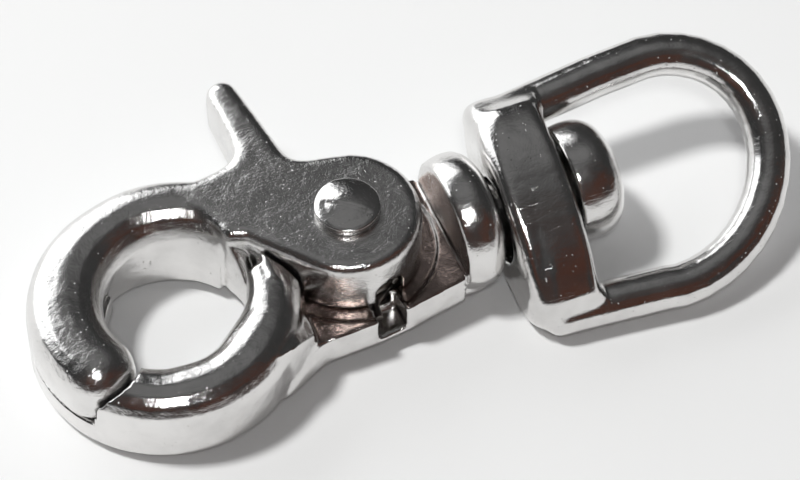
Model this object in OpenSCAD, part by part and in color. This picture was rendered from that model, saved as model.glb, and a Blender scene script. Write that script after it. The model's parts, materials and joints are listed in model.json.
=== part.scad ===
// Swivel trigger snap hook: a cast body with a C-shaped lower jaw, a sprung
// trigger that closes the loop, and an eye that turns on the body's stem.
// Each piece is drawn with the swivel axis along X (towards the eye), the
// thumb lever towards +Y and the rivet upright at X = 0. The finished hook
// is then tipped by the small angle at which it rests on a table, at Z = 0.

/* [Loop] */
// Inside diameter of the closed loop
loop_d = 12.8; // [11.6:0.1:13.4]
// Distance from the rivet back to the loop's centre, along the swivel axis
loop_x = 16.5; // [16.2:0.1:17.5]
// Offset of the loop's centre from the swivel axis, towards the lever
loop_y = 0.4; // [0:0.1:0.8]
// Outside diameter of the jaws
jaw_d = 24; // [23:0.1:25.5]
// How far the jaws' outside circle is shifted away from the rivet
jaw_shift = 1.2; // [0.6:0.1:1.8]

/* [Trigger] */
// Height of the trigger's top face above the swivel axis
trigger_top = 5; // [4.4:0.1:5.8]
// Edge radius round the trigger's flat top
edge_r = 1; // [0.5:0.1:1.4]
// Diameter of the trigger's round pivot disc
disc_d = 13; // [12.4:0.1:13.6]
// Reach of the thumb lever, from the rivet to its tip
lever_l = 17.9; // [14:0.1:21]
// Width of the thumb lever at its tip
lever_w = 2.8; // [2.2:0.1:3.4]
// Height of the arched spring window in the trigger's side wall
window_h = 2.6; // [2:0.1:3.2]
// Width of the spring window, and of the notch below it in the body
window_w = 2.7; // [2:0.1:3.2]

/* [Body] */
// Depth of the body's bed below the swivel axis
bed_drop = 0.6; // [0.3:0.1:1]
// Depth of the round recess in the bed that the trigger's disc turns in
recess = 0.4; // [0.2:0.1:0.6]
// Diameter of that recess
recess_d = 15.8; // [15.4:0.1:16.6]
// Height of the body's jaw above the swivel axis
jaw_up = 3.8; // [3.4:0.1:4.2]
// Depth of the jaws and the bed's underside below the swivel axis
base_drop = 3.9; // [3.6:0.1:4.4]
// How much deeper the bed is than the jaws
bed_extra = 0.3; // [0:0.1:0.6]
// Offset of the rivet from the swivel axis, towards the lever
rivet_y = 1.7; // [1.2:0.1:2]

/* [Swivel] */
// Diameter of the barrel that the eye turns against
barrel_d = 12.4; // [11.4:0.1:13]
// Length of the barrel
barrel_l = 4.2; // [3.8:0.1:5]
// Diameter of the stem through the eye
stem_d = 5; // [4:0.1:6]
// Diameter of the stem's peened head
head_d = 10.6; // [9:0.1:11.4]
// Length of the stem's peened head
head_l = 4.4; // [3:0.1:5.5]

/* [Eye] */
// Length of the eye's boss along the stem
boss_l = 6.5; // [6:0.1:7.5]
// Thickness of the boss over the stem
boss_t = 11; // [9:0.1:12]
// Width of the ring, between the middles of its two arms
ring_w = 20.8; // [19:0.1:22]
// How far the loose eye hangs from the stem's middle, along the ring's plane
eye_play = 1.2; // [0.5:0.1:1.4]
// Lean of the loose eye on the stem, in the ring's plane
eye_lean = 2.5; // [0:0.1:2.5]
// Length of the ring, from the rivet to the middle of its far end
ring_x = 39.4; // [36:0.1:44]
// Thickness of the ring
ring_t = 4; // [3.2:0.1:4.6]

/* [Rivet and spring] */
// Diameter of the rivet's shank
rivet_d = 3.6; // [3:0.1:4.4]
// Diameter of the rivet's heads
rivet_head_d = 5.8; // [5:0.1:6.6]
// Height of the rivet's upper head
rivet_head_h = 1.5; // [1:0.1:2]
// Thickness of the spring's wire
wire_d = 0.75; // [0.6:0.05:0.9]
// Outside diameter of the spring's coil
coil_d = 10.6; // [9.6:0.1:11]
// Number of turns in the coil
coil_turns = 3; // [2:1:4]

/* [Fits] */
// Gap between the trigger and the body
gap = 0.2; // [0.15:0.05:0.3]
// Radial clearance of the rivet in the trigger
rivet_fit = 0.06; // [0.03:0.01:0.1]
// Radial clearance of the stem in the eye
stem_fit = 0.1; // [0.05:0.01:0.1]

/* [Hidden] */
$fn = 48;

// Places that the pieces share
pivot = [0, rivet_y];
loop = [-loop_x, loop_y];
loop_r = loop_d / 2;
bed_z = -bed_drop;
floor_z = bed_z - recess;
seat_z = floor_z + gap;
base_z = -base_drop;

plate_z = bed_z + gap + 0.05;
head_gap = 0.1;
disc_r = disc_d / 2;
bed_r = 9.6;
swivel_x = 8.4;
end_gap = 0.35;
boss_x = swivel_x + barrel_l + end_gap;
head_x = boss_x + boss_l + end_gap;
spring_low = base_z + 1.1;
spring_high = 1.3;
pocket_top = 2.3;
window_x = 1.4;
notch_x = 0.75;
lip = 0.6;
bed_base = base_z - bed_extra;
bed_lip = 0.4;

// Resting angle of the body: on the barrel's bottom and the end of its jaw
rest_x = -loop_x - jaw_shift - jaw_d / 2 + lip;
rest_slope = (barrel_d / 2 - base_drop) / (swivel_x - rest_x);
pitch = atan(rest_slope);
lift = base_drop * cos(pitch) - rest_x * sin(pitch);
// Turn of the eye about the stem, until its near arm lies down
arm_v = ring_w / 2 - 0.7;
far_arm_v = arm_v - 0.9;
eye_turn = asin((base_drop + rest_slope * (boss_x - rest_x) - ring_t / 2 / cos(pitch))
    / (arm_v + eye_play));
// Middle of the whole hook, in plan
reach = [ring_x + ring_t / 2 - rest_x + lip, lever_l + rivet_y + ring_w / 2 + ring_t / 2 + 0.6];
middle = [rest_x - lip, rivet_y + lever_l] + [reach.x, -reach.y] / 2;

// Outline helpers
function polar(c, r, a) = c + r * [cos(a), sin(a)];
function arc(c, r, a0, a1, n = 12) = [for (i = [0:n]) polar(c, r, a0 + (a1 - a0) * i / n)];
function angle_of(v) = atan2(v.y, v.x);
function turn(a, b) = ((b - a + 540) % 360) - 180;
function ramp(a, a0, a1) = min(1, max(0, (a - a0) / (a1 - a0)));
// Corner q between p and s, rounded to radius r
function round_corner(p, q, s, r, n = 8) =
    let (u = (p - q) / norm(p - q), w = (s - q) / norm(s - q),
         half = acos(u * w) / 2, c = q + (u + w) / norm(u + w) * r / sin(half),
         a0 = angle_of(q + u * r / tan(half) - c), a1 = angle_of(q + w * r / tan(half) - c))
    [for (i = [0:n]) polar(c, r, a0 + turn(a0, a1) * i / n)];

// Distance from the loop's centre to the jaws' outside at angle a
function jaw_out(a) =
    -jaw_shift * cos(a) + sqrt(pow(jaw_d / 2, 2) - pow(jaw_shift * sin(a), 2));
// Distance to the jaws' inside: thicker where the body's jaw leaves the bed
heel_a = 308;
heel = 1.1;
function jaw_in(a) = loop_r - heel * pow(max(0, cos(a - heel_a)), 6)
    + 0.8 * ramp(a, 250, 216) * ramp(a, 206, 216);
// Upright section of a jaw: [distance from the loop's centre, height] round it,
// from inside i to outside o and z0 to z1, with a radius for each corner; the
// inner lower corner can stand off by foot
function jaw_section(i, o, z0, z1, low, out_top, in_top, foot = 0, n = 4) =
    let (t = min(in_top, o - i - out_top - 0.1)) concat(
    arc([i + low + foot, z0 + low], low, 180, 270, n),
    arc([o - low, z0 + low], low, 270, 360, n),
    arc([o - out_top, z1 - out_top], out_top, 0, 90, n),
    arc([i + t, z1 - t], t, 90, 180, n));

// Triangles that fill an outline, cut off corner by corner; l lists the corners left
function side_of(a, b, p) = (b.x - a.x) * (p.y - a.y) - (b.y - a.y) * (p.x - a.x);
function free_corner(v, l, i) =
    let (n = len(l), a = v[l[(i + n - 1) % n]], b = v[l[i]], c = v[l[(i + 1) % n]])
    side_of(a, b, c) > 1e-6 && len([for (j = [2:n - 2]) let (p = v[l[(i + j) % n]])
        if (side_of(a, b, p) >= 0 && side_of(b, c, p) >= 0 && side_of(c, a, p) >= 0) p]) == 0;
function filled(v, l) = len(l) == 3 ? [l] :
    let (n = len(l), e = [for (i = [0:n - 1]) if (free_corner(v, l, i)) i][0])
    concat([[l[(e + n - 1) % n], l[e], l[(e + 1) % n]]], filled(v, [for (i = [0:n - 1]) if (i != e) l[i]]));
// Solid through a row of rings with the same number of points; ends that aren't
// convex are given as two flat outlines
module skin(rings, ends = []) {
    k = len(rings[0]);
    m = len(rings);
    all = [for (j = [0:k - 1]) j];
    caps = [for (i = [0:1]) ends == [] ? [all] : filled(ends[i], all)];
    sides = [for (i = [0:m - 2]) for (j = [0:k - 1])
        let (a = i * k + j, b = i * k + (j + 1) % k) each [[a, b, b + k], [a, b + k, a + k]]];
    polyhedron([for (r = rings) each r], concat(
        [for (f = caps[0]) [for (j = [len(f) - 1:-1:0]) f[j]]], sides,
        [for (f = caps[1]) [for (j = f) (m - 1) * k + j]]), convexity = 6);
}
// Skin through upright sections placed round the loop's centre
module round_loop(angles, sections, ends = []) skin([for (i = [0:len(angles) - 1]) [for (s = sections[i])
    [loop.x + s.x * cos(angles[i]), loop.y + s.x * sin(angles[i]), s.y]]], ends);
// Round bar of diameter d along a path that never runs upright
module bar(path, d, sides) {
    last = len(path) - 1;
    skin([for (i = [0:last])
        let (t = path[min(last, i + 1)] - path[max(0, i - 1)], f = t / norm(t),
             side = cross(f, [0, 0, 1]), n = side / norm(side), b = cross(n, f))
        [for (j = [0:sides - 1]) path[i] + d / 2 * (n * cos(360 * j / sides) + b * sin(360 * j / sides))]]);
}
// Solid of revolution about the swivel axis, from x
module about_axis(x) translate([x, 0, 0]) rotate([90, 0, 90]) children();
module upright(z) translate([pivot.x, pivot.y, z]) children();
module at_rest() translate([-middle.x, -middle.y, lift]) rotate([0, -pitch, 0]) children();

// The trigger's tip, and the oblique lap where the trigger's jaw becomes half as deep
tip_a = 204;
tip_r = (jaw_out(tip_a) - jaw_in(tip_a)) / 2;
tip = polar(loop, (jaw_out(tip_a) + jaw_in(tip_a)) / 2, tip_a);
tip_top = trigger_top - 0.2;
lap = polar(loop, 10, 162);
lap_a = 28;
// Everything on one side of the lap's line, up to the height top
module lap_side(turned, clear, top) translate([lap.x, lap.y, -10]) rotate([0, 0, lap_a + turned])
    translate([-20, clear, 0]) cube([40, 20, 10 + top]);
// Everything beyond the radius at angle a
module beyond(a) translate([loop.x, loop.y, -20]) rotate([0, 0, a]) translate([-20, 0, 0]) cube([40, 20, 40]);
lap_end = 132;

// Trigger: round disc, straight edge, jaw root and thumb lever, as one outline
nose_a = 219.7;
tip_left = [-6.8, rivet_y + lever_l];
tip_right = tip_left + [lever_w, 0.1];
root_left = [-6.6, 10.7];
root_right = [-2.4, 8.8];
plate_points = concat(
    arc(pivot, disc_r, nose_a, 426, 34),
    round_corner(polar(pivot, disc_r, 66), root_right, tip_right, 2, 5),
    round_corner(root_right, tip_right, tip_left, 1.3, 6),
    round_corner(tip_right, tip_left, root_left, 1.3, 6),
    round_corner(tip_left, root_left, polar(loop, jaw_out(62), 62), 2.2, 4),
    [polar(loop, jaw_out(68) - 1.1, 68)],
    [for (a = [67:-7:25]) polar(loop, loop_r + 0.08 + 2.4 * ramp(a, 32, 85), a)],
    [[-9.2, 2.6]]);
// Outline moved inwards by d, corner by corner
function inset(v, d) = [for (i = [0:len(v) - 1])
    let (k = len(v), p = v[(i + k - 1) % k], q = v[i], s = v[(i + 1) % k],
         m = [p.y - q.y, q.x - p.x] / norm(q - p), n = [q.y - s.y, s.x - q.x] / norm(s - q))
    q + d * (m + n) / (1 + m * n)];
module trigger_outline() polygon(plate_points);
module trigger_plate() difference() {
    skin(concat(
        [for (a = [0:18:90]) [for (q = inset(plate_points, edge_r * (1 - sin(a))))
            [q.x, q.y, trigger_top - edge_r * (1 - cos(a))]]],
        [[for (q = plate_points) [q.x, q.y, seat_z]]]), [inset(plate_points, edge_r), plate_points]);
    difference() {
        translate([-30, -20, seat_z - 1]) cube([60, 50, plate_z - seat_z + 1]);
        upright(seat_z - 2) cylinder(h = 4, r = recess_d / 2 - gap, $fn = 96);
    }
}
module trigger_jaw() difference() {
    ring = [for (i = [0:30]) 34 + (tip_a - 34) * i / 30];
    finger = [for (a = [3:6:39]) a];
    fingers = [for (a = finger) finger_section(a, ramp(a, 3, 30), 0.3 * ramp(a, 27, 39))];
    union() {
        round_loop(ring, [for (a = ring) jaw_section(jaw_in(a), jaw_out(a), base_z,
            trigger_top - 0.02 + (tip_top - trigger_top) * ramp(a, 90, tip_a), 0.6,
            edge_r + 2 * ramp(a, 55, 110), 2.4 + 0.6 * ramp(a, 40, 105),
            0.9 * ramp(a, 92, lap_end) - 0.4 * ramp(a, 92, 70))]);
        translate([tip.x, tip.y, plate_z - 0.5]) tip_dome();
        round_loop(finger, fingers, [fingers[0], fingers[len(fingers) - 1]]);
    }
    upright(-10) cylinder(h = 10.03 + plate_z, r = bed_r + gap, $fn = 96);
    intersection() {
        lap_side(180, 0, plate_z);
        beyond(lap_end);
    }
}
// Section where the jaw thins out beside the disc: wide below the plate, a lip above
function finger_section(a, grow, inside) =
    let (i = jaw_in(a) + inside, o = min(jaw_out(a) - inside, 8 + 3.4 * ramp(a, 21, 39)), z0 = base_z + inside + 0.6,
         lip_o = loop_r + 0.45 + 1.55 * grow, z1 = 0.45 + 4.05 * grow - 2 * inside, r = 0.15 + 0.4 * grow)
    concat(arc([i + 0.6, z0], 0.6, 180, 270, 3), arc([o - 0.6, z0], 0.6, 270, 360, 3),
        [[o, plate_z], [lip_o, plate_z]],
        arc([lip_o - 0.15, z1 - 0.15], 0.15, 0, 90, 2), arc([i + r, z1 - r], r, 90, 180, 3));
module tip_dome() {
    height = tip_top - plate_z + 0.5 - 0.04;
    r = min(3, tip_r - 0.1);
    rotate_extrude($fn = 64) polygon(concat([[0, 0], [tip_r, 0]],
        arc([tip_r - r, height - r], r, 0, 90, 8), [[0, height]]));
}
module trigger() color("gainsboro") at_rest() difference() {
    union() {
        trigger_plate();
        trigger_jaw();
    }
    upright(-20) cylinder(h = 40, d = rivet_d + 2 * rivet_fit);
    coil_room(seat_z - 1, pocket_top);
    translate([window_x, rivet_y - disc_r, seat_z]) rotate([90, 0, 0]) translate([0, 0, -1.6]) linear_extrude(3.6) {
        translate([0, window_h - window_w / 2]) circle(d = window_w);
        translate([-window_w / 2, -1]) square([window_w, 1 + window_h - window_w / 2]);
    }
}
// Ring-shaped room for the coil
module coil_room(low, high) upright(low) difference() {
    cylinder(h = high - low, d = coil_d + 0.9, $fn = 72);
    translate([0, 0, -1]) cylinder(h = high - low + 2, d = coil_d - 2 * wire_d - 0.9, $fn = 72);
}

// Body: jaw, bed, closing stop, barrel, stem and peened head, cast in one
module body() color("silver") at_rest() {
    difference() {
        union() {
            body_jaw();
            bed();
            web();
            stop();
        }
        translate([0, 0, bed_z]) linear_extrude(20) offset(delta = gap + 0.05) trigger_outline();
        upright(floor_z) cylinder(h = 1, d = recess_d, $fn = 96);
        upright(-20) cylinder(h = 40, d = rivet_d);
        coil_room(spring_low - 0.1, bed_z + 1);
        translate([notch_x - window_w / 2, -10, base_z + 0.5]) cube([window_w, 6, 20]);
    }
    swivel_end();
}
module body_jaw() difference() {
    ring = [for (i = [0:38]) lap_end + 3 + (360 - lap_end - 3) * i / 38];
    round_loop(ring, [for (a = ring)
        jaw_section(jaw_in(a), jaw_out(a), base_z, jaw_up, 1.2, 2.7, 2.7 + 1.5 * ramp(a, 255, 220))]);
    translate([tip.x, tip.y, bed_z]) cylinder(h = 20, r = tip_r + gap + 0.3, $fn = 72);
    translate([0, 0, bed_z + 20]) intersection() {
        beyond(lap_end - 10);
        beyond(tip_a + 10 - 180);
    }
    lap_side(0, -gap, 10);
}
module bed() hull() for (i = [0:3]) let (a = 30 * i)
    translate([0, 0, bed_base + bed_lip * (1 - cos(a))])
        linear_extrude(bed_z - bed_base - bed_lip) offset(delta = -bed_lip * (1 - sin(a))) bed_outline();
module bed_outline() polygon(concat(
    [[-9, -6.9], [-5.7, -6.95], [-0.9, -6.85], [2.5, -6.5], [swivel_x, -5.55], [swivel_x + 2, -5.1]],
    [[swivel_x + 2, 5.4], [swivel_x, 6.2], [2, 7.5]],
    arc(pivot, bed_r, 143, 190)));
// Slanted web in the corner between the jaw's back and the bed
module web() hull() {
    translate([0, 0, base_z + 0.05]) linear_extrude(0.5)
        polygon([[-10.6, -9.4], [-7.7, -7.8], [-5.7, -7.1], [-6, -5], [-9, -6]]);
    translate([0, 0, bed_z - 0.5]) linear_extrude(0.5) polygon([[-7.6, -5.5], [-5.7, -6.85], [-7, -5]]);
}
// Wedge beside the trigger's straight edge, which stops the trigger closed
module stop() hull() {
    translate([0, 0, base_z + 1]) linear_extrude(3) polygon([[-9.6, -0.8], [-9.35, 0.9], [-8.75, 2.1], [-5.6, -1.8], [-6.5, -5]]);
    translate([0, 0, bed_z]) linear_extrude(4.6) polygon([[-8.35, 2], [-8.5, -1.6], [-8, -1.7], [-7.9, 1.6]]);
}
module swivel_end() {
    about_axis(swivel_x) rotate_extrude($fn = 96) turned(barrel_l, barrel_d / 2, 2);
    about_axis(swivel_x) cylinder(h = head_x - swivel_x + 1, d = stem_d, $fn = 64);
    about_axis(head_x) rotate_extrude($fn = 96) turned(head_l, head_d / 2, 2.2);
}
// Half profile of a plug whose far rim is rounded to radius r
module turned(length, radius, r) union() {
    square([radius - r, length]);
    square([radius, length - r]);
    translate([radius - r, length - r]) intersection() {
        circle(r);
        square(r);
    }
}

// Rivet: shank, raised upper head with an upright rim, low lower head
module rivet() color("lightgray") at_rest() {
    upright(bed_base) cylinder(h = trigger_top + head_gap + 0.1 - bed_base, d = rivet_d);
    upright(trigger_top + head_gap) rotate_extrude() rivet_head(rivet_head_h, rivet_head_h * 0.45);
    upright(bed_base) mirror([0, 0, 1]) rotate_extrude() rivet_head(0.8, 0.1);
}
module rivet_head(h, rim) {
    rise = h - rim;
    r = (pow(rivet_head_d / 2, 2) + rise * rise) / (2 * rise);
    intersection() {
        union() {
            square([rivet_head_d / 2, rim]);
            translate([0, h - r]) circle(r, $fn = 180);
        }
        square([rivet_head_d / 2, h]);
    }
}

// Coil spring: one leg bent out into the body's notch, the other into the trigger's window
module spring() color("dimgray") at_rest() {
    r = (coil_d - wire_d) / 2;
    turns = coil_turns - 0.06;
    rise = (spring_high - spring_low - wire_d) / turns;
    foot_z = spring_low + wire_d / 2;
    bar(concat(
        [[notch_x - 0.7, -5.3, foot_z], [notch_x - 0.6, -4.2, foot_z], [notch_x - 0.3, -3.5, foot_z]],
        [for (i = [0:round(turns * 18)]) let (p = polar(pivot, r, -72 + i * 20))
            [p.x, p.y, foot_z + rise * i / 18]],
        [[window_x + 0.3, -3.4, spring_high - wire_d / 2], [window_x + 0.6, -4.3, spring_high - wire_d / 2]]),
        wire_d, 7);
}

// Eye: bored boss and round-bar ring, cast in one, drawn flat about its own middle
module eye() color("gainsboro") at_rest() rotate([eye_turn, 0, 0])
    translate([boss_x + boss_l / 2, -eye_play, 0]) rotate([0, 0, -eye_lean]) difference() {
        union() {
            boss();
            bar(ring_path, ring_t, 20);
        }
        about_axis(-boss_l) cylinder(h = 2 * boss_l, r = eye_bore, $fn = 96);
    }
// Radius of the bore: clears the stem where the eye hangs and leans on it
eye_bore = stem_d / 2 + eye_play + stem_fit + boss_l / 2 * sin(eye_lean);
// Outline of the boss: a middle circle, with an end circle beyond each side
function lens(r, end_r, left, right, n = 5) = let (a = acos((r - end_r) / left), b = acos((r - end_r) / right))
    concat(arc([right, 0], end_r, -b, b, n), arc([0, 0], r, b, 180 - a, n),
        arc([-left, 0], end_r, 180 - a, 180 + a, n), arc([0, 0], r, 180 + a, 360 - b, n));
// Band round the bore: sections [place, blunting of the ends, bevel] along the stem
boss_sections = [[boss_l, 0.8, 0.8], [boss_l - 0.25, 0.3, 0.3], [boss_l - 0.8, 0, 0],
    [2.4, 0, 0], [0.8, 0.9, 0], [0.25, 1.6, 0.35], [0, 2.2, 0.8]];
module boss() skin([for (s = boss_sections)
    [for (q = lens(boss_t / 2 - s[2], ring_t / 2 + 0.5 - s[2], arm_v - 0.9 - s[1] + s[2],
        far_arm_v - 0.9 - s[1] + s[2])) [s[0] - boss_l / 2, q.x, q.y]]]);
arm_x = 0.5;
bend_x = ring_x - ring_w / 2 - boss_x - boss_l / 2;
ring_skew = 0.17;
ring_path = concat(
    [for (i = [0:3]) [arm_x + (bend_x - arm_x) * i / 4, -arm_v - (ring_w / 2 - arm_v) * i / 4, 0]],
    [for (a = [-90:10:90]) [bend_x + ring_w / 2 * (cos(a) + ring_skew * sin(a)), ring_w / 2 * sin(a), 0]],
    [for (i = [3:-1:0]) [arm_x + (bend_x - arm_x) * i / 4, far_arm_v + (ring_w / 2 - far_arm_v) * i / 4, 0]]);

body();
trigger();
rivet();
spring();
eye();
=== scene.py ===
# Looks of the swivel snap hook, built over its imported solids.
import bpy
import json
import math
import numpy as np
from mathutils import Matrix, Vector, noise


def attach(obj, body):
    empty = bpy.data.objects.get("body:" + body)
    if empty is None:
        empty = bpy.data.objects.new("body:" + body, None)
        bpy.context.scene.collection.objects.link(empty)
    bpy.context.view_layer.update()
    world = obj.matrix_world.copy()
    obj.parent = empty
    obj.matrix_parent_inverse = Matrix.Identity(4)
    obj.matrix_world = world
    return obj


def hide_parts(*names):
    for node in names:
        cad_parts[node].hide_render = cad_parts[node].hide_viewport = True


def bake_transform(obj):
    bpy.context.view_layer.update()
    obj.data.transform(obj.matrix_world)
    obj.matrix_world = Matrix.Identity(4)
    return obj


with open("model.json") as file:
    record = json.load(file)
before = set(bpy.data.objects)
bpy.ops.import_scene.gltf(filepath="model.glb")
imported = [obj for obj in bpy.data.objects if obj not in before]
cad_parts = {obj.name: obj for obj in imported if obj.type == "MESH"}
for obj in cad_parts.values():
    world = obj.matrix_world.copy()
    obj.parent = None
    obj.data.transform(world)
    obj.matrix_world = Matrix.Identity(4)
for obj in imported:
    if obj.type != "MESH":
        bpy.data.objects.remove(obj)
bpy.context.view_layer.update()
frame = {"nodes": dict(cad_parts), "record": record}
MM = 0.001


# ---------------------------------------------------------------- camera
# Fitted to the photo: where the camera stands (m), and its own right and up.
CAMERA_PLACE = Vector((-0.08514802, -0.16365928, 0.25050824))
CAMERA_RIGHT = Vector((0.91809629, -0.39233712, 0.05630983))
CAMERA_UP = Vector((0.28566764, 0.75347366, 0.59217518))
SENSOR, LENS = 36, 155.25                            # mm
NEAREST, FARTHEST = 0.01, 20                         # m


def add_camera():
    data = bpy.data.cameras.new("camera")
    data.sensor_width = SENSOR
    data.lens = LENS
    data.clip_start = NEAREST
    data.clip_end = FARTHEST
    obj = bpy.data.objects.new("camera", data)
    bpy.context.scene.collection.objects.link(obj)
    back = CAMERA_RIGHT.cross(CAMERA_UP)
    m = Matrix((CAMERA_RIGHT, CAMERA_UP, back)).transposed().to_4x4()
    m.translation = CAMERA_PLACE
    obj.matrix_world = m
    bpy.context.scene.camera = obj


# ---------------------------------------------------------------- the hook's own axes, in mm
def joint(name):
    return next(j for j in frame["record"]["behaviour"]["joints"] if j["name"] == name)


HINGE, SWIVEL = joint("trigger_hinge"), joint("eye_swivel")
AXIS = np.array(SWIVEL["axis"])                      # along the stem
UPRIGHT = -np.array(HINGE["axis"])                   # along the rivet
ACROSS = np.array([0.0, 1.0, 0.0])
CENTRE = np.array([HINGE["pos_m"][0], SWIVEL["pos_m"][1], HINGE["pos_m"][2]]) / MM
PIVOT_Y = HINGE["pos_m"][1] / MM - CENTRE[1]
EYE_TURN = math.radians(24.24)
EYE_LEAN = math.radians(2.5)
EYE_X, EYE_PLAY = 16.2, 1.2                          # the boss's middle, and how far it hangs


def to_body(co):
    """Row-frame points in mm to the hook's own axes."""
    p = co - CENTRE
    return np.stack([p @ AXIS, p @ ACROSS, p @ UPRIGHT], axis=1)


def from_body(p):
    """The hook's own axes back to row-frame points in mm."""
    return (CENTRE + np.outer(p[:, 0], AXIS) + np.outer(p[:, 1], ACROSS)
            + np.outer(p[:, 2], UPRIGHT))


def to_eye(co):
    """Row-frame points in mm to the eye's flat drawing."""
    p = to_body(co)
    c, s = math.cos(EYE_TURN), math.sin(EYE_TURN)
    x, y, z = p[:, 0] - EYE_X, p[:, 1] * c + p[:, 2] * s + EYE_PLAY, -p[:, 1] * s + p[:, 2] * c
    c, s = math.cos(EYE_LEAN), math.sin(EYE_LEAN)
    return np.stack([x * c - y * s, x * s + y * c, z], axis=1)


def from_eye(p):
    """The eye's flat drawing back to row-frame points in mm."""
    c, s = math.cos(EYE_LEAN), math.sin(EYE_LEAN)
    x, y, z = p[:, 0] * c + p[:, 1] * s + EYE_X, -p[:, 0] * s + p[:, 1] * c - EYE_PLAY, p[:, 2]
    c, s = math.cos(EYE_TURN), math.sin(EYE_TURN)
    return from_body(np.stack([x, y * c - z * s, y * s + z * c], axis=1))


def step(a, b, v):
    """Smooth rise from 0 at a to 1 at b; b may be the smaller."""
    t = np.clip((v - a) / (b - a), 0, 1)
    return t * t * (3 - 2 * t)


# ---------------------------------------------------------------- mesh tools
def new_object(name, mesh):
    """An object of the mesh, in the scene's own collection."""
    obj = bpy.data.objects.new(name, mesh)
    bpy.context.scene.collection.objects.link(obj)
    return obj


def applied(obj):
    """Puts the object's modifiers into its mesh."""
    graph = bpy.context.evaluated_depsgraph_get()
    mesh = bpy.data.meshes.new_from_object(obj.evaluated_get(graph))
    obj.modifiers.clear()
    old = obj.data
    obj.data = mesh
    bpy.data.meshes.remove(old)


def points(mesh):
    """The mesh's vertices as an array."""
    co = np.zeros(len(mesh.vertices) * 3, np.float32)
    mesh.vertices.foreach_get("co", co)
    return co.reshape(-1, 3).astype(float)


def tube(path, radii, sides=28):
    """Closed round tube through points; its ends are closed by fans."""
    path = [Vector(p) for p in path]
    verts, faces = [], []
    for i, p in enumerate(path):
        d = (path[min(i + 1, len(path) - 1)] - path[max(i - 1, 0)]).normalized()
        side = d.cross(Vector((0, 0, 1))).normalized()
        up = side.cross(d)
        for k in range(sides):
            a = 2 * math.pi * k / sides
            verts.append(p + radii[i] * (math.cos(a) * side + math.sin(a) * up))
    for i in range(len(path) - 1):
        for k in range(sides):
            a, b = i * sides + k, i * sides + (k + 1) % sides
            faces.append((a, b, b + sides, a + sides))
    faces.append(tuple(range(sides))[::-1])
    faces.append(tuple(range(len(verts) - sides, len(verts))))
    return np.array(verts), faces


def block(base, top, low):
    """Upright block over a plan outline; top gives the height at each corner."""
    n = len(base)
    verts = [(x, y, low) for x, y in base] + [(x, y, z) for (x, y), z in zip(base, top)]
    faces = [(i, (i + 1) % n, (i + 1) % n + n, i + n) for i in range(n)]
    middle = np.mean(np.array(verts[n:]), axis=0)
    verts.append(tuple(middle))
    faces += [(i + n, (i + 1) % n + n, 2 * n) for i in range(n)]
    faces.append(tuple(range(n))[::-1])
    return np.array(verts), faces


def add_smooth(obj, rounds):
    """A smoothing modifier of so many rounds."""
    m = obj.modifiers.new("smooth", "SMOOTH")
    m.factor = 0.5
    m.iterations = rounds
    return m


LEVELS = 20                                          # steps of a smoothing weight


def soften(obj, weight, rounds):
    """Smooths the mesh where weight(points) is above 0."""
    levels = np.round(np.clip(weight(points(obj.data)), 0, 1) * LEVELS).astype(int)
    group = obj.vertex_groups.new(name="soft")
    for k in range(1, LEVELS + 1):
        group.add(np.nonzero(levels == k)[0].tolist(), k / LEVELS, "REPLACE")
    add_smooth(obj, rounds).vertex_group = group.name
    applied(obj)
    obj.vertex_groups.clear()


def joined(name, mesh, extra):
    """The mesh with further closed meshes, given as (points, faces), laid into it."""
    verts = [points(mesh)]
    faces = [tuple(p.vertices) for p in mesh.polygons]
    n = len(verts[0])
    for v, f in extra:
        verts.append(v)
        faces += [tuple(i + n for i in q) for q in f]
        n += len(v)
    mesh = bpy.data.meshes.new(name)
    mesh.from_pydata(np.concatenate(verts).tolist(), [], faces)
    return mesh


def uneven(co, no, wave, grain, seed):
    """Moves points along their normals by a slow wave and a finer grain, both in mm."""
    d = np.zeros(len(co))
    for i, (x, y, z) in enumerate(co):
        v = Vector((x + seed, y, z))
        d[i] = (wave * (noise.noise(v * 0.45) + 0.45 * noise.noise(v * 1.1))
                + grain * noise.noise(v * 3.1))
    return co + no * d[:, None]


def cast_copy(node, name, voxel, smooth, wave, grain, seed, extra=(), softer=(), shape=None):
    """Remeshed copy of a solid: edges rounded as cast and plated, faces a little uneven.
    voxel, wave and grain are in mm. extra is a list of closed meshes joined to it first,
    softer a list of (weight, rounds), and shape moves the points before they are made uneven."""
    mesh = frame["nodes"][node].data.copy()
    mesh.transform(Matrix.Scale(1 / MM, 4))
    mesh.materials.clear()
    if extra:
        mesh = joined(name, mesh, extra)
    obj = new_object(name, mesh)
    weld = obj.modifiers.new("weld", "WELD")
    weld.merge_threshold = 0.001
    rem = obj.modifiers.new("remesh", "REMESH")
    rem.mode = "VOXEL"
    rem.voxel_size = voxel
    rem.adaptivity = 0
    add_smooth(obj, smooth)
    applied(obj)
    for weight, rounds in softer:
        soften(obj, weight, rounds)
    mesh = obj.data
    if shape:
        mesh.vertices.foreach_set("co", shape(points(mesh)).astype(np.float32).reshape(-1))
        mesh.update()
    co = points(mesh)
    no = np.zeros(len(co) * 3, np.float32)
    mesh.vertex_normals.foreach_get("vector", no)
    co = uneven(co, no.reshape(-1, 3), wave, grain, seed)
    mesh.vertices.foreach_set("co", co.astype(np.float32).reshape(-1))
    mesh.transform(Matrix.Scale(MM, 4))
    mesh.shade_smooth()
    mesh.update()
    return obj


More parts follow.
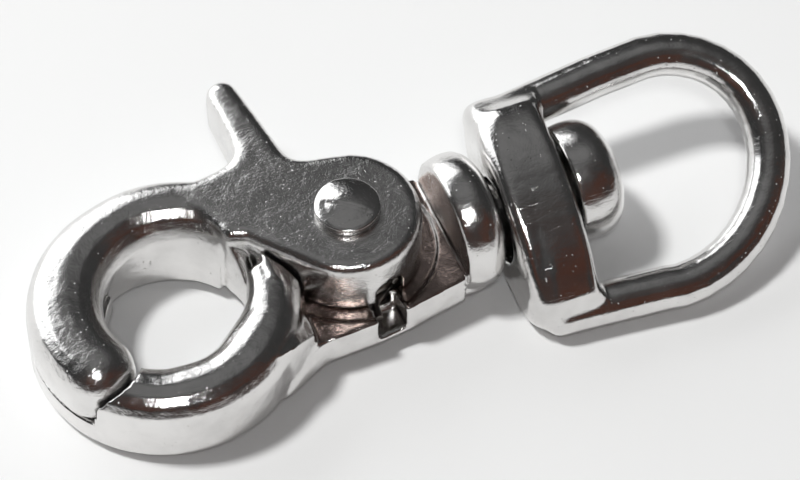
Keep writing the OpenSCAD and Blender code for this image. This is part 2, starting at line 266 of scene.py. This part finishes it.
# ---------------------------------------------------------------- materials
class Nodes:
    """Short calls for building the node tree of a material or a world."""

    def __init__(self, owner):
        self.owner = owner
        owner.use_nodes = True
        self.tree = owner.node_tree
        self.tree.nodes.clear()

    def add(self, kind, **values):
        n = self.tree.nodes.new(kind)
        for k, v in values.items():
            setattr(n, k, v)
        return n

    def link(self, a, b):
        self.tree.links.new(a, b)

    def noise(self, vec, scale, detail=3, rough=0.5, distortion=0.0):
        n = self.add("ShaderNodeTexNoise")
        n.inputs["Scale"].default_value = scale
        n.inputs["Detail"].default_value = detail
        n.inputs["Roughness"].default_value = rough
        n.inputs["Distortion"].default_value = distortion
        self.link(vec, n.inputs["Vector"])
        return n.outputs["Fac"]

    def ramp(self, fac, stops):
        """Colour ramp through (position, grey or colour) stops."""
        n = self.add("ShaderNodeValToRGB")
        e = n.color_ramp.elements
        while len(e) < len(stops):
            e.new(0.5)
        for i, (pos, col) in enumerate(stops):
            e[i].position = pos
            e[i].color = (col, col, col, 1) if isinstance(col, float) else (*col, 1)
        self.link(fac, n.inputs["Fac"])
        return n.outputs["Color"]

    def math(self, op, a, b=None):
        n = self.add("ShaderNodeMath", operation=op)
        for i, v in enumerate((a, b)):
            if v is None:
                continue
            if isinstance(v, (int, float)):
                n.inputs[i].default_value = v
            else:
                self.link(v, n.inputs[i])
        return n.outputs[0]

    def scaled(self, vec, xyz, rot=(0, 0, 0)):
        n = self.add("ShaderNodeMapping")
        n.inputs["Scale"].default_value = xyz
        n.inputs["Rotation"].default_value = rot
        self.link(vec, n.inputs["Vector"])
        return n.outputs["Vector"]

    def dot(self, vec, axis):
        n = self.add("ShaderNodeVectorMath", operation="DOT_PRODUCT")
        self.link(vec, n.inputs[0])
        n.inputs[1].default_value = tuple(axis)
        return n.outputs["Value"]

    def along(self, axis, per_mm):
        """Distance from the hook's centre along an axis, as 0.5 plus per_mm for each mm."""
        place = self.add("ShaderNodeTexCoord").outputs["Object"]
        mm = self.math("MULTIPLY", self.math("SUBTRACT", self.dot(place, axis),
                                             float(CENTRE @ axis) * MM), 1 / MM)
        return self.math("ADD", self.math("MULTIPLY", mm, per_mm), 0.5)

    def painted_bed_mask(self):
        """Mask for the painted shade and painted dark brown reflection on the bed and its recess:
        level, low and between jaw and barrel.
        """
        normal = self.add("ShaderNodeNewGeometry").outputs["Normal"]
        level = self.ramp(self.dot(normal, UPRIGHT), [(0.80, 0.0), (0.93, 1.0)])
        # from 1.1 to 0.5 mm below the stem's middle
        low = self.ramp(self.along(UPRIGHT, 0.1),
                        [(0.38, 0.0), (0.39, 1.0), (0.452, 1.0), (0.47, 0.0)])
        # from 6.2 mm before the rivet to 8.3 mm beyond it
        here = self.ramp(self.along(AXIS, 0.03),
                         [(0.30, 0.0), (0.315, 1.0), (0.75, 1.0), (0.76, 0.0)])
        return self.math("MULTIPLY", self.math("MULTIPLY", level, low), here)

    def hairs(self, vec, turn, tilt, patch_seed):
        """Fine long scratches: thin contours of a stretched noise, in patches only."""
        stretched = self.scaled(vec, (110, 1500, 1500), (tilt, 0.2 * tilt, turn))
        n = self.noise(stretched, 1.0, 1, 0.4, 0.3)
        line = self.ramp(self.math("ABSOLUTE", self.math("SUBTRACT", n, 0.5)),
                         [(0.0, 1.0), (0.018, 0.0)])
        here = self.ramp(self.noise(self.scaled(vec, (1, 1, 1), (patch_seed, 0, 0)), 330, 2, 0.5),
                         [(0.50, 0.0), (0.62, 1.0)])
        return self.math("MULTIPLY", line, here)

    def mixed(self, fac, a, b):
        """Colour a where fac is 0 and b where it is 1; b may be a plain colour."""
        n = self.add("ShaderNodeMix", data_type="RGBA")
        self.link(fac, n.inputs[0])
        self.link(a, n.inputs[6])
        if isinstance(b, tuple):
            n.inputs[7].default_value = (*b, 1)
        else:
            self.link(b, n.inputs[7])
        return n.outputs[2]

    def surface(self):
        """A principled shader joined to the material's output."""
        bsdf = self.add("ShaderNodeBsdfPrincipled")
        out = self.add("ShaderNodeOutputMaterial")
        self.link(bsdf.outputs[0], out.inputs["Surface"])
        return bsdf


# Bump heights in micrometres.
PEEL, SAND, HAIR, PIT = 7.0, 15.0, -4.0, -36.0
# Painted shade and painted dark brown reflection, mixed into the base colour of the bed and its
# recess.
BED_SHADE_AND_REFLECTION = (0.33, 0.265, 0.24)


def plated(name, tint, rough, scratch=1.0, grit=1.0, pits=1.0, painted_shade=0.0, paint_bed_shade=False):
    """Nickel plate over a casting: orange peel, fine grit, hairlines, small pits, cloudy gloss."""
    t = Nodes(bpy.data.materials.new(name))
    obj = t.add("ShaderNodeTexCoord").outputs["Object"]
    cloud = t.noise(obj, 240, 4, 0.6)
    peel = t.noise(obj, 900, 2, 0.5)
    sand = t.noise(obj, 4200, 3, 0.7)
    hair = t.math("MAXIMUM", t.hairs(obj, 0.5, 0.1, 0.0), t.hairs(obj, 1.9, 0.5, 2.0))
    hair = t.math("MAXIMUM", hair, t.hairs(obj, -0.5, 0.9, 4.0))
    vor = t.add("ShaderNodeTexVoronoi")
    vor.inputs["Scale"].default_value = 2000
    t.link(obj, vor.inputs["Vector"])
    here = t.ramp(t.noise(obj, 600, 2, 0.5), [(0.48, 0.0), (0.58, 1.0)])
    pit = t.math("MULTIPLY", t.ramp(vor.outputs["Distance"], [(0.0, 1.0), (0.17, 0.0)]), here)
    bsdf = t.surface()
    bsdf.inputs["Metallic"].default_value = 1.0
    # painted_shade darkens the cloudy tone further; only the spring uses it, as painted shade of
    # the notch and slot it lies in.
    dark = tuple(c * (0.86 - painted_shade) for c in tint)
    colour = t.ramp(cloud, [(0.32, dark), (0.60, tint)])
    # The bed and its recess get painted shade and a painted brown reflection in their base colour.
    if paint_bed_shade:
        colour = t.mixed(t.painted_bed_mask(), colour, BED_SHADE_AND_REFLECTION)
    t.link(colour, bsdf.inputs["Base Color"])
    r = t.math("ADD", t.math("MULTIPLY", cloud, 0.12), rough - 0.06)
    r = t.math("ADD", r, t.math("MULTIPLY", hair, 0.06 * scratch))
    r = t.math("ADD", r, t.math("MULTIPLY", pit, 0.2))
    t.link(r, bsdf.inputs["Roughness"])
    h = t.math("ADD", t.math("MULTIPLY", peel, PEEL), t.math("MULTIPLY", sand, SAND * grit))
    h = t.math("ADD", h, t.math("MULTIPLY", hair, HAIR * scratch))
    h = t.math("ADD", h, t.math("MULTIPLY", pit, PIT * pits))
    bump = t.add("ShaderNodeBump")
    bump.inputs["Strength"].default_value = 1.0
    bump.inputs["Distance"].default_value = 0.001 * MM
    t.link(h, bump.inputs["Height"])
    t.link(bump.outputs["Normal"], bsdf.inputs["Normal"])
    return t.owner


def paper():
    """White paper, with a faint cloudiness."""
    t = Nodes(bpy.data.materials.new("pale_floor"))
    obj = t.add("ShaderNodeTexCoord").outputs["Object"]
    bsdf = t.surface()
    t.link(t.ramp(t.noise(obj, 30, 2, 0.5),
                  [(0.3, (0.845, 0.85, 0.85)), (0.7, (0.86, 0.865, 0.865))]),
           bsdf.inputs["Base Color"])
    bsdf.inputs["Roughness"].default_value = 0.8
    bsdf.inputs["Specular IOR Level"].default_value = 0.2
    return t.owner


# ---------------------------------------------------------------- pieces
def body_of(node):
    """The body that the record gives the node."""
    for body, members in frame["record"]["behaviour"]["bodies"].items():
        if node in members:
            return body


def stand_for(node, obj, mat):
    """Gives the piece its one material and lets it replace its solid."""
    obj.data.materials.clear()
    obj.data.materials.append(mat)
    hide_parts(node)


def dress(node, obj, mat):
    """A rigid piece, which rides on its solid's body."""
    stand_for(node, obj, mat)
    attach(obj, body_of(node))


def wind(node, obj, mat):
    """Gives the coil its one material in place of its solid and bakes its placement into its
    points; it rides on no body.
    """
    stand_for(node, obj, mat)
    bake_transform(obj)


# Places and sizes in mm, in the hook's own axes or in the eye's flat drawing.
STEM_CLEAR = 3.2                                     # radius within which the stem lies
BARREL = (8.5, 12.6)                                 # ends of its crown, along the stem
HEAD = (17.5, 24.2)                                  # the same; the near end is in the boss
BARREL_DROP, HEAD_DROP = 0.34, 0.30                  # how far the crown falls at a rim
HEAD_REACH, HEAD_WIDER = 0.3, 0.025                  # makes up for what smoothing takes off
JAW_ROOT = ((-11.5, -9.0, 2.9), (-8.8, -8.25, 2.5), (-6.45, -6.75, 0.9),
            (-6.35, -5.2, 0.9), (-7.1, -3.4, 1.7), (-9.5, -2.5, 3.0))   # corners and heights
JAW_ROOT_LOW = -4.1                                  # its underside
ROOT_MIDDLE = (-7.9, -5.9)                           # where its smoothing is centred
LIP_END = (-9.8, -8.8, -2.9)                         # where the bed's lip meets the jaw
ARM_R = 2.0                                          # of the ring's bar
ARM_END_X = 0.9                                      # where the added arm ends stop
BAND_R, BAND_FLAT = 5.5, 1.98                        # round middle of the solid's band
BAND_SHOULDER = 5.13                                 # its height where the slopes begin
ARCH_H, ARCH_HALF = 5.45, 11.6                       # the arch that it becomes
DOME_Z = 5.75                                        # where the rivet's dome begins


# Each ..._part gives a smoothing weight of 0 to 1 for every point, by its place in mm.
def lever_part(co):
    p = to_body(co)
    return step(8.2, 11.0, p[:, 1]) * step(0.5, -1.0, p[:, 0])


def barrel_part(co):
    p = to_body(co)
    return step(8.0, 9.0, p[:, 0]) * step(13.5, 12.9, p[:, 0])


def head_part(co):
    return step(20.6, 21.8, to_body(co)[:, 0])


def boss_part(co):
    p = to_eye(co)
    return step(5.6, 4.2, np.abs(p[:, 0]))


def root_part(co):
    p = to_body(co)
    d = np.hypot(p[:, 0] - ROOT_MIDDLE[0], p[:, 1] - ROOT_MIDDLE[1])
    lip = np.linalg.norm(p - LIP_END, axis=1)
    return np.maximum(step(3.6, 2.2, d) * step(-4.3, -3.3, p[:, 2]), step(2.0, 1.1, lip))


def arm_ends():
    """The ring's arms run on through the boss to rounded ends at its near face."""
    parts = []
    for y0, y1, start in ((8.95, 8.8, -3.0), (-9.7, -9.7, -1.9)):
        xs = [start, start + 0.25, start + 0.8, start + 1.7, ARM_END_X]
        rs = [0.9, 1.45, 1.85, ARM_R, ARM_R]
        ys = [y0 + (y1 - y0) * (x - start) / (ARM_END_X - start) for x in xs]
        v, f = tube([(x, y, 0) for x, y in zip(xs, ys)], rs)
        parts.append((from_eye(v), f))
    return parts


def jaw_root():
    """The jaw's back runs on into the bed's corner as one rounded mass."""
    v, f = block([c[:2] for c in JAW_ROOT], [c[2] for c in JAW_ROOT], JAW_ROOT_LOW)
    return from_body(v), f


def crowned(p, ends, drop):
    """Lowers both rims of a turned part between two ends along the stem by drop."""
    r = np.hypot(p[:, 1], p[:, 2])
    t = (p[:, 0] - sum(ends) / 2) / ((ends[1] - ends[0]) / 2)
    inside = (np.abs(t) < 1.15) & (r > STEM_CLEAR)
    fall = drop * np.minimum(t * t, 1.1) * step(STEM_CLEAR, STEM_CLEAR + 1, r)
    k = np.where(inside, 1 - fall / np.maximum(r, 1), 1)
    p[:, 1] *= k
    p[:, 2] *= k


def turned_ends(co):
    """Crowns the barrel and the peened head, and gives the head back its size."""
    p = to_body(co)
    crowned(p, BARREL, BARREL_DROP)
    crowned(p, HEAD, HEAD_DROP)
    head = step(19.7, 21.5, p[:, 0])[:, None]
    p += head * p * (0.0, HEAD_WIDER, HEAD_WIDER) + head * (HEAD_REACH, 0.0, 0.0)
    return from_body(p)


def rounded_boss(co):
    """The upper band over the stem is an even arch that turns down at its ends."""
    p = to_eye(co)
    y = p[:, 1]
    out = np.abs(y)
    slope = np.where(y < 0, 0.3625, 0.411)
    solid = np.where(out < BAND_FLAT, np.sqrt(np.clip(BAND_R ** 2 - y * y, 20, 31)),
                     np.clip(BAND_SHOULDER - (out - BAND_FLAT) * slope, 2.3, 5.2))
    arch = ARCH_H * np.sqrt(np.clip(1 - (y / ARCH_HALF) ** 2, 0.05, 1))
    k = np.clip(arch / solid, 0.9, 1.5)
    w = step(3.9, 3.1, np.abs(p[:, 0])) * step(4.3, 4.9, np.hypot(y, p[:, 2]))
    w *= step(11.0, 9.0, out) * step(0.0, 0.6, p[:, 2])
    p[:, 2] *= 1 + (k - 1) * w
    return from_eye(p)


def peened(co):
    """A low dome with a slanting crease and an off-centre flat."""
    p = to_body(co)
    top = step(5.0, 5.5, p[:, 2])
    x, y = p[:, 0], p[:, 1] - PIVOT_Y
    p[:, 2] = np.where(p[:, 2] > DOME_Z, DOME_Z + (p[:, 2] - DOME_Z) * 0.72, p[:, 2])
    d = x * 0.62 + y * 0.78 + 0.3
    inner = top * step(2.6, 1.9, np.hypot(x, y))
    p[:, 2] -= inner * (0.09 * step(0.15, -0.25, d) + 0.015 * np.exp(-(d / 0.2) ** 2))
    return from_body(p)


NICKEL = (0.80, 0.79, 0.78)
# The spring's colour is darkened to paint the shade inside the notch and slot it lies in.
SHADED_WIRE = (0.27, 0.25, 0.23)


def make_pieces():
    dress("body",
          cast_copy("body", "body_cast", voxel=0.17, smooth=6, wave=0.03, grain=0.009, seed=3.0,
                    extra=[jaw_root()], shape=turned_ends,
                    softer=[(barrel_part, 11), (head_part, 47), (root_part, 36)]),
          plated("nickel_body", NICKEL, rough=0.15, scratch=0.8, grit=1.3, paint_bed_shade=True))
    dress("trigger",
          cast_copy("trigger", "trigger_cast", voxel=0.16, smooth=6, wave=0.03, grain=0.014,
                    seed=11.0, softer=[(lever_part, 70)]),
          plated("nickel_trigger", NICKEL, rough=0.17, scratch=0.8, grit=1.9, pits=1.3))
    dress("eye",
          cast_copy("eye", "eye_cast", voxel=0.16, smooth=5, wave=0.03, grain=0.004, seed=23.0,
                    extra=arm_ends(), softer=[(boss_part, 36)], shape=rounded_boss),
          plated("nickel_eye", NICKEL, rough=0.13, scratch=0.8, grit=1.0, pits=1.2))
    dress("rivet",
          cast_copy("rivet", "rivet_peened", voxel=0.09, smooth=4, wave=0.03, grain=0.006,
                    seed=31.0, shape=peened),
          plated("nickel_rivet", NICKEL, rough=0.15, scratch=0.8, grit=1.0))
    wind("spring",
         cast_copy("spring", "spring_wire", voxel=0.07, smooth=4, wave=0.0, grain=0.003,
                   seed=41.0),
         plated("spring_steel", SHADED_WIRE, rough=0.30, scratch=0.4, grit=0.4, pits=0.2, painted_shade=0.2))


# ---------------------------------------------------------------- surroundings
FLOOR_HALF = 1.2                                     # m
LOOK_AT = (0, 0, 0.006)                              # where every lamp points, m


def add_floor():
    s = FLOOR_HALF
    mesh = bpy.data.meshes.new("floor")
    mesh.from_pydata([(-s, -s, 0), (s, -s, 0), (s, s, 0), (-s, s, 0)], [], [(0, 1, 2, 3)])
    obj = new_object("floor", mesh)
    mesh.materials.append(paper())


def aim(obj, target):
    d = Vector(target) - obj.location
    obj.rotation_euler = d.to_track_quat("-Z", "Y").to_euler()


def towards(azimuth, elevation):
    """Unit vector at the given angles in degrees."""
    a, e = math.radians(azimuth), math.radians(elevation)
    return Vector((math.cos(a) * math.cos(e), math.sin(a) * math.cos(e), math.sin(e)))


def area(name, direction, far, size, radiance, colour=(1, 1, 1)):
    """Rectangular lamp at (azimuth, elevation), far metres off, of the given radiance."""
    data = bpy.data.lights.new(name, "AREA")
    data.shape = "RECTANGLE"
    data.size, data.size_y = size
    data.energy = radiance * math.pi * size[0] * size[1]
    data.color = colour
    obj = bpy.data.objects.new(name, data)
    bpy.context.scene.collection.objects.link(obj)
    obj.location = towards(*direction) * far
    aim(obj, LOOK_AT)
    return obj


def add_world():
    """A dim room: grey ceiling, dark walls, brown furniture on the viewer's side."""
    world = bpy.data.worlds.new("room")
    bpy.context.scene.world = world
    t = Nodes(world)
    sep = t.add("ShaderNodeSeparateXYZ")
    tex = t.add("ShaderNodeTexCoord")
    t.link(tex.outputs["Generated"], sep.inputs[0])
    # the ceiling is lighter towards the window
    up = t.math("MULTIPLY", sep.outputs["Z"],
                t.math("ADD", t.math("MULTIPLY", sep.outputs["Y"], 0.25), 1.0))
    grey = t.ramp(up, [(0.0, 0.55), (0.02, 0.045), (0.62, 0.040), (0.84, 0.050),
                       (0.94, 0.10), (1.0, 0.17)])
    brown = t.ramp(up, [(0.0, (0.5, 0.5, 0.5)), (0.02, (0.045, 0.035, 0.033)),
                        (0.2, (0.085, 0.036, 0.024)), (0.66, (0.075, 0.034, 0.025)),
                        (0.86, (0.065, 0.058, 0.055)), (1.0, (0.17, 0.17, 0.17))])
    near = t.ramp(t.math("MULTIPLY", sep.outputs["Y"], -1.0), [(0.10, 0.0), (0.45, 1.0)])
    patch = t.ramp(t.noise(tex.outputs["Generated"], 3.2, 2, 0.5), [(0.42, 0.0), (0.60, 1.0)])
    room = t.mixed(t.math("MULTIPLY", near, patch), grey, brown)
    bg = t.add("ShaderNodeBackground")
    out = t.add("ShaderNodeOutputWorld")
    t.link(room, bg.inputs["Color"])
    t.link(bg.outputs[0], out.inputs["Surface"])


def add_lights():
    area("window", (117, 24), far=1.0, size=(1.20, 0.90), radiance=2.0,
         colour=(0.98, 0.99, 1.0))
    lamp = area("lamp", (157, 64), far=0.9, size=(0.12, 0.12), radiance=128.0,
                colour=(1.0, 0.998, 0.99))
    lamp.visible_glossy = False                      # it isn't mirrored in the plate
    area("flash", (-116, 58), far=0.7, size=(0.075, 0.075), radiance=45.0)


add_camera()
make_pieces()
add_floor()
add_world()
add_lights()
bpy.context.scene.view_settings.view_transform = "Standard"
